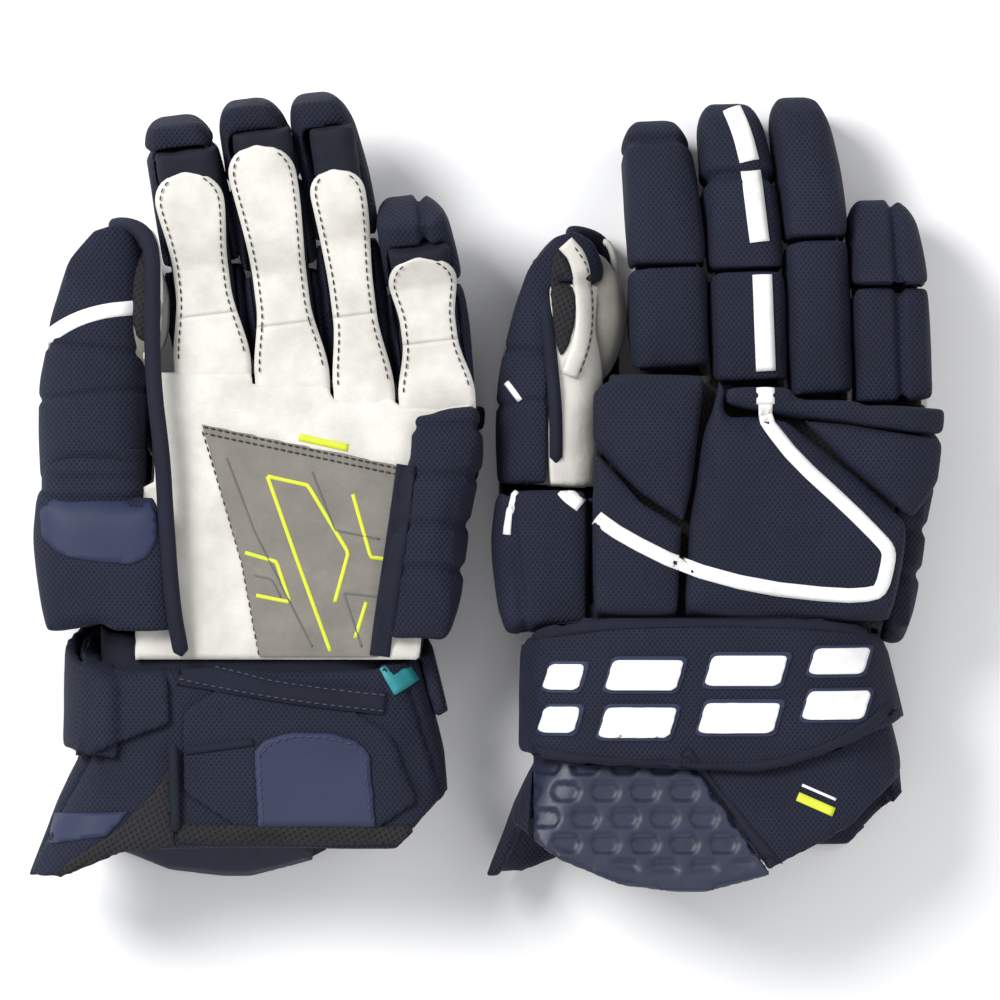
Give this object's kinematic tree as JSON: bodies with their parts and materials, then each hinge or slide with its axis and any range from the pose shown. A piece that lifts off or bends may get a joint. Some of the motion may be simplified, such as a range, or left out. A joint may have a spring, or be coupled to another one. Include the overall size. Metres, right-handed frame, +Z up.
{
  "type": "hockey gloves",
  "caption": "Pair of padded ice hockey gloves with jointed finger rolls, thumb guard, wrist band and flared cuff, lying flat: right palm down, left palm up.",
  "frame": {"origin": "ground under the middle of the pair's bounding box", "axes": "+X towards the right glove, +Y towards the fingertips, +Z up from the ground they lie on"},
  "size_m": [0.41, 0.3589, 0.077],
  "materials": {
    "mesh_knit_navy": "open mesh knit over foam, matt navy",
    "palm_leather_white": "smooth white synthetic leather",
    "palm_suede_grey": "brushed grey synthetic suede with a printed line pattern",
    "liner_knit_black": "black knit lining",
    "moulded_insert_navy": "soft moulded navy sheet with a hexagon relief",
    "trim_white": "white coated trim and raised moulded shapes",
    "print_yellow": "bright yellow printed line"
  },
  "bodies": {
    "left_hand": {"left_hand_liner": "liner_knit_black", "left_palm_leather": "palm_leather_white", "left_palm_suede": "palm_suede_grey", "left_knuckle_pad": "mesh_knit_navy", "left_back_pads": "mesh_knit_navy", "left_outer_pad": "mesh_knit_navy", "left_thumb_side_pads": "mesh_knit_navy", "left_side_roll": "mesh_knit_navy"},
    "left_cuff": {"left_wrist_band": "mesh_knit_navy", "left_cuff_panels": "mesh_knit_navy", "left_cuff_insert": "moulded_insert_navy", "left_cuff_palm": "mesh_knit_navy"},
    "left_thumb": {"left_thumb_guard": "mesh_knit_navy", "left_thumb_stall": "palm_leather_white"},
    "left_index_lower": {"left_index_lower_roll": "mesh_knit_navy", "left_index_lower_stall": "palm_leather_white"},
    "left_index_upper": {"left_index_upper_roll": "mesh_knit_navy", "left_index_upper_stall": "palm_leather_white"},
    "left_middle_lower": {"left_middle_lower_roll": "mesh_knit_navy", "left_middle_lower_stall": "palm_leather_white"},
    "left_middle_upper": {"left_middle_upper_roll": "mesh_knit_navy", "left_middle_upper_stall": "palm_leather_white"},
    "left_ring_lower": {"left_ring_lower_roll": "mesh_knit_navy", "left_ring_lower_stall": "palm_leather_white"},
    "left_ring_upper": {"left_ring_upper_roll": "mesh_knit_navy", "left_ring_upper_stall": "palm_leather_white"},
    "left_pinky_lower": {"left_pinky_lower_roll": "mesh_knit_navy", "left_pinky_lower_stall": "palm_leather_white"},
    "left_pinky_upper": {"left_pinky_upper_roll": "mesh_knit_navy", "left_pinky_upper_stall": "palm_leather_white"},
    "right_hand": {"right_hand_liner": "liner_knit_black", "right_palm_leather": "palm_leather_white", "right_palm_suede": "palm_suede_grey", "right_knuckle_pad": "mesh_knit_navy", "right_back_pads": "mesh_knit_navy", "right_outer_pad": "mesh_knit_navy", "right_thumb_side_pads": "mesh_knit_navy", "right_side_roll": "mesh_knit_navy"},
    "right_cuff": {"right_wrist_band": "mesh_knit_navy", "right_cuff_panels": "mesh_knit_navy", "right_cuff_insert": "moulded_insert_navy", "right_cuff_palm": "mesh_knit_navy"},
    "right_thumb": {"right_thumb_guard": "mesh_knit_navy", "right_thumb_stall": "palm_leather_white"},
    "right_index_lower": {"right_index_lower_roll": "mesh_knit_navy", "right_index_lower_stall": "palm_leather_white"},
    "right_index_upper": {"right_index_upper_roll": "mesh_knit_navy", "right_index_upper_stall": "palm_leather_white"},
    "right_middle_lower": {"right_middle_lower_roll": "mesh_knit_navy", "right_middle_lower_stall": "palm_leather_white"},
    "right_middle_upper": {"right_middle_upper_roll": "mesh_knit_navy", "right_middle_upper_stall": "palm_leather_white"},
    "right_ring_lower": {"right_ring_lower_roll": "mesh_knit_navy", "right_ring_lower_stall": "palm_leather_white"},
    "right_ring_upper": {"right_ring_upper_roll": "mesh_knit_navy", "right_ring_upper_stall": "palm_leather_white"},
    "right_pinky_lower": {"right_pinky_lower_roll": "mesh_knit_navy", "right_pinky_lower_stall": "palm_leather_white"},
    "right_pinky_upper": {"right_pinky_upper_roll": "mesh_knit_navy", "right_pinky_upper_stall": "palm_leather_white"}
  },
  "joints": [
    {"name": "left_wrist", "type": "hinge", "parent": "left_hand", "child": "left_cuff", "pos_m": [-0.1095, -0.07915, 0.061], "axis": [-1, 0, 0], "range_deg": [0, 25]},
    {"name": "left_thumb_base", "type": "hinge", "parent": "left_hand", "child": "left_thumb", "pos_m": [-0.1755, 0.00185, 0.061], "axis": [1, 0, 0], "range_deg": [0, 35]},
    {"name": "left_index_knuckle", "type": "hinge", "parent": "left_hand", "child": "left_index_lower", "pos_m": [-0.122, 0.05485, 0.061], "axis": [0.9925, 0.1219, 0], "range_deg": [0, 60]},
    {"name": "left_index_joint", "type": "hinge", "parent": "left_index_lower", "child": "left_index_upper", "pos_m": [-0.12735, 0.09846, 0.0633], "axis": [0.9925, 0.1219, 0], "range_deg": [0, 55]},
    {"name": "left_middle_knuckle", "type": "hinge", "parent": "left_hand", "child": "left_middle_lower", "pos_m": [-0.0865, 0.04885, 0.061], "axis": [0.9925, 0.1219, 0], "range_deg": [0, 60]},
    {"name": "left_middle_joint", "type": "hinge", "parent": "left_middle_lower", "child": "left_middle_upper", "pos_m": [-0.09234, 0.09643, 0.06351], "axis": [0.9925, 0.1219, 0], "range_deg": [0, 55]},
    {"name": "left_ring_knuckle", "type": "hinge", "parent": "left_hand", "child": "left_ring_lower", "pos_m": [-0.0545, 0.04285, 0.061], "axis": [0.9925, 0.1219, 0], "range_deg": [0, 60]},
    {"name": "left_ring_joint", "type": "hinge", "parent": "left_ring_lower", "child": "left_ring_upper", "pos_m": [-0.06278, 0.11025, 0.06456], "axis": [0.9925, 0.1219, 0], "range_deg": [0, 55]},
    {"name": "left_pinky_knuckle", "type": "hinge", "parent": "left_hand", "child": "left_pinky_lower", "pos_m": [-0.022, 0.03985, 0.061], "axis": [0.9925, 0.1219, 0], "range_deg": [0, 60]},
    {"name": "left_pinky_joint", "type": "hinge", "parent": "left_pinky_lower", "child": "left_pinky_upper", "pos_m": [-0.02808, 0.08941, 0.06362], "axis": [0.9925, 0.1219, 0], "range_deg": [0, 55]},
    {"name": "right_glove_lift", "type": "slide", "parent": "left_hand", "child": "right_hand", "axis": [0, 0, 1], "range_m": [0, 0.15]},
    {"name": "right_wrist", "type": "hinge", "parent": "right_hand", "child": "right_cuff", "pos_m": [0.095, -0.08115, 0.016], "axis": [1, 0, 0], "range_deg": [0, 25]},
    {"name": "right_thumb_base", "type": "hinge", "parent": "right_hand", "child": "right_thumb", "pos_m": [0.029, -0.00015, 0.016], "axis": [-1, 0, 0], "range_deg": [0, 35]},
    {"name": "right_index_knuckle", "type": "hinge", "parent": "right_hand", "child": "right_index_lower", "pos_m": [0.0825, 0.05285, 0.016], "axis": [-0.9994, -0.0349, 0], "range_deg": [0, 60]},
    {"name": "right_index_joint", "type": "hinge", "parent": "right_index_lower", "child": "right_index_upper", "pos_m": [0.08097, 0.09676, 0.0137], "axis": [-0.9994, -0.0349, 0], "range_deg": [0, 55]},
    {"name": "right_middle_knuckle", "type": "hinge", "parent": "right_hand", "child": "right_middle_lower", "pos_m": [0.118, 0.04685, 0.016], "axis": [-0.9994, -0.0349, 0], "range_deg": [0, 60]},
    {"name": "right_middle_joint", "type": "hinge", "parent": "right_middle_lower", "child": "right_middle_upper", "pos_m": [0.11633, 0.09475, 0.01349], "axis": [-0.9994, -0.0349, 0], "range_deg": [0, 55]},
    {"name": "right_ring_knuckle", "type": "hinge", "parent": "right_hand", "child": "right_ring_lower", "pos_m": [0.15, 0.04085, 0.016], "axis": [-0.9994, -0.0349, 0], "range_deg": [0, 60]},
    {"name": "right_ring_joint", "type": "hinge", "parent": "right_ring_lower", "child": "right_ring_upper", "pos_m": [0.14763, 0.10871, 0.01244], "axis": [-0.9994, -0.0349, 0], "range_deg": [0, 55]},
    {"name": "right_pinky_knuckle", "type": "hinge", "parent": "right_hand", "child": "right_pinky_lower", "pos_m": [0.1825, 0.03785, 0.016], "axis": [-0.9994, -0.0349, 0], "range_deg": [0, 60]},
    {"name": "right_pinky_joint", "type": "hinge", "parent": "right_pinky_lower", "child": "right_pinky_upper", "pos_m": [0.18076, 0.08775, 0.01338], "axis": [-0.9994, -0.0349, 0], "range_deg": [0, 55]}
  ]
}
